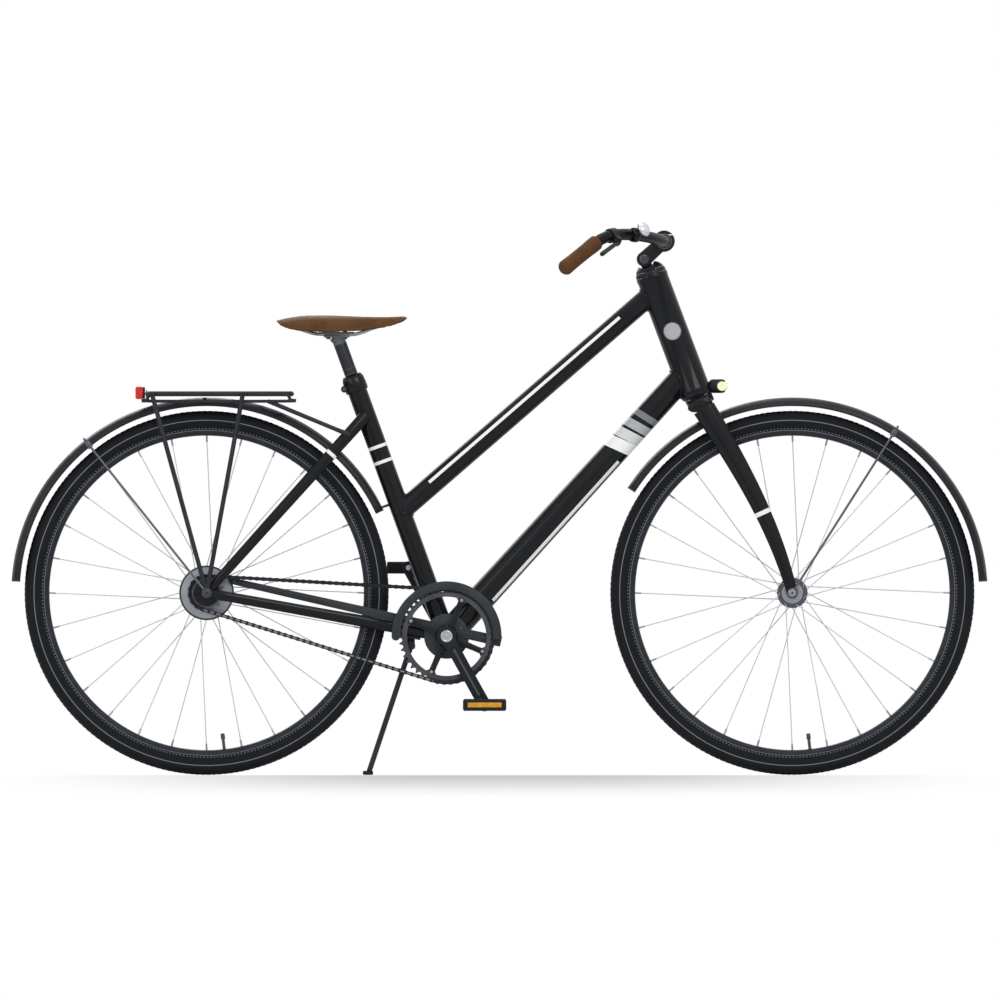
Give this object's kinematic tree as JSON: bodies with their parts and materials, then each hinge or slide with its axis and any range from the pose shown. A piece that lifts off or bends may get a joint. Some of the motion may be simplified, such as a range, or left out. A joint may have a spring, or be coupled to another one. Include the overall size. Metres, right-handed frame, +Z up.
{
  "type": "commuter bike",
  "caption": "Step-through commuter bike with fenders, rear rack, chain guard, swept-back bar, lights, bell and a two-legged stand.",
  "frame": {"origin": "on the ground below the middle of the bike, half way between its fenders' ends", "axes": "+X forward, +Y to the rider's left, +Z up"},
  "size_m": [1.865, 0.6636, 1.0567],
  "materials": {
    "bell_silver": "bright silver dome",
    "chain_steel": "dark, oiled",
    "fender_grey": "dark grey satin coating",
    "frame_black": "gloss black paint",
    "hub_metal": "blasted, grey",
    "leather": "brown leather",
    "lens_red": "red lens",
    "lens_yellow": "pale yellow lens",
    "plastic_black": "black",
    "rack_grey": "dark grey powder coating",
    "reflector_amber": "amber reflector",
    "rim_black": "black anodised",
    "steel": "plain steel",
    "trim_grey": "dark grey coating",
    "tyre_rubber": "black rubber"
  },
  "bodies": {
    "frame": {"head_tube": "frame_black", "seat_tube": "frame_black", "top_tube": "frame_black", "down_tube": "frame_black", "bottom_bracket_shell": "frame_black", "bottom_bracket_cartridge": "steel", "chain_stay_right": "frame_black", "chain_stay_left": "frame_black", "seat_stay_right": "frame_black", "seat_stay_left": "frame_black", "seat_collar": "frame_black", "headset_lower": "plastic_black", "headset_upper": "plastic_black", "rear_axle": "steel", "chain": "chain_steel", "chain_guard": "trim_grey", "rear_fender": "fender_grey", "rear_fender_stay": "trim_grey", "rack": "rack_grey", "rack_leg_right": "rack_grey", "rack_leg_left": "rack_grey", "rear_light": "lens_red", "stand_bracket": "trim_grey"},
    "steering": {"fork_crown": "frame_black", "fork_blade_right": "frame_black", "fork_blade_left": "frame_black", "front_axle": "steel", "headlight": "plastic_black", "headlight_lens": "lens_yellow", "front_fender": "fender_grey", "front_fender_stay": "trim_grey", "stem_post": "frame_black"},
    "front_wheel": {"front_tyre": "tyre_rubber", "front_rim": "rim_black", "front_hub": "hub_metal"},
    "rear_wheel": {"rear_tyre": "tyre_rubber", "rear_rim": "rim_black", "rear_hub": "hub_metal"},
    "sprocket": {"rear_sprocket": "steel"},
    "cranks": {"crank_axle": "steel", "chainring": "trim_grey", "crank_right": "frame_black", "crank_left": "frame_black"},
    "pedal_right": {"pedal_right": "plastic_black", "pedal_reflector_right": "reflector_amber"},
    "pedal_left": {"pedal_left": "plastic_black", "pedal_reflector_left": "reflector_amber"},
    "bar": {"stem_arm": "frame_black", "handlebar": "frame_black", "grip_right": "leather", "grip_left": "leather", "bell": "bell_silver"},
    "brake_lever_right": {"brake_lever_right": "trim_grey"},
    "brake_lever_left": {"brake_lever_left": "trim_grey"},
    "bell_lever": {"bell_lever": "steel"},
    "seat": {"seat_post": "trim_grey", "saddle_clamp": "trim_grey", "saddle_rails": "steel", "saddle": "leather"},
    "stand": {"stand": "trim_grey"}
  },
  "joints": [
    {"name": "steer", "type": "hinge", "parent": "frame", "child": "steering", "pos_m": [0.3752, 0, 0.73001], "axis": [-0.3518, 0, 0.9361], "range_deg": [-70, 70]},
    {"name": "front_wheel_spin", "type": "hinge", "parent": "steering", "child": "front_wheel", "pos_m": [0.5597, 0, 0.348], "axis": [0, 1, 0], "continuous": true},
    {"name": "rear_wheel_spin", "type": "hinge", "parent": "frame", "child": "rear_wheel", "pos_m": [-0.5597, 0, 0.348], "axis": [0, 1, 0], "continuous": true},
    {"name": "sprocket_spin", "type": "hinge", "parent": "frame", "child": "sprocket", "pos_m": [-0.5597, 0, 0.348], "axis": [0, 1, 0], "continuous": true},
    {"name": "crank_spin", "type": "hinge", "parent": "frame", "child": "cranks", "pos_m": [-0.10112, 0, 0.265], "axis": [0, 1, 0], "continuous": true},
    {"name": "pedal_right_spin", "type": "hinge", "parent": "cranks", "child": "pedal_right", "pos_m": [-0.0284, 0, 0.13381], "axis": [0, 1, 0], "continuous": true},
    {"name": "pedal_left_spin", "type": "hinge", "parent": "cranks", "child": "pedal_left", "pos_m": [-0.17384, 0, 0.39619], "axis": [0, 1, 0], "continuous": true},
    {"name": "stem_tilt", "type": "hinge", "parent": "steering", "child": "bar", "pos_m": [0.27692, 0, 0.98579], "axis": [0, 1, 0], "range_deg": [-30, 0]},
    {"name": "brake_lever_right_pull", "type": "hinge", "parent": "bar", "child": "brake_lever_right", "pos_m": [0.22759, -0.24376, 1.01892], "axis": [-0.3636, 0.492, -0.7911], "range_deg": [0, 15], "stiffness_Nm_per_rad": 0.8, "springref_deg": -14.32},
    {"name": "brake_lever_left_pull", "type": "hinge", "parent": "bar", "child": "brake_lever_left", "pos_m": [0.22759, 0.24376, 1.01892], "axis": [0.3636, 0.492, 0.7911], "range_deg": [0, 15], "stiffness_Nm_per_rad": 0.8, "springref_deg": -14.32},
    {"name": "bell_lever_press", "type": "hinge", "parent": "bar", "child": "bell_lever", "pos_m": [0.25825, -0.18165, 1.03208], "axis": [0.7334, -0.4953, 0.4656], "range_deg": [0, 25], "stiffness_Nm_per_rad": 0.05, "springref_deg": -14.32},
    {"name": "seat_height", "type": "slide", "parent": "frame", "child": "seat", "axis": [-0.342, 0, 0.9397], "range_m": [-0.06, 0.06]},
    {"name": "stand_fold", "type": "hinge", "parent": "frame", "child": "stand", "pos_m": [-0.16912, 0, 0.247], "axis": [0, 1, 0], "range_deg": [0, 65]}
  ],
  "couplings": [
    {"joint": "sprocket_spin", "follows": "crank_spin", "ratio": 2.75}
  ]
}
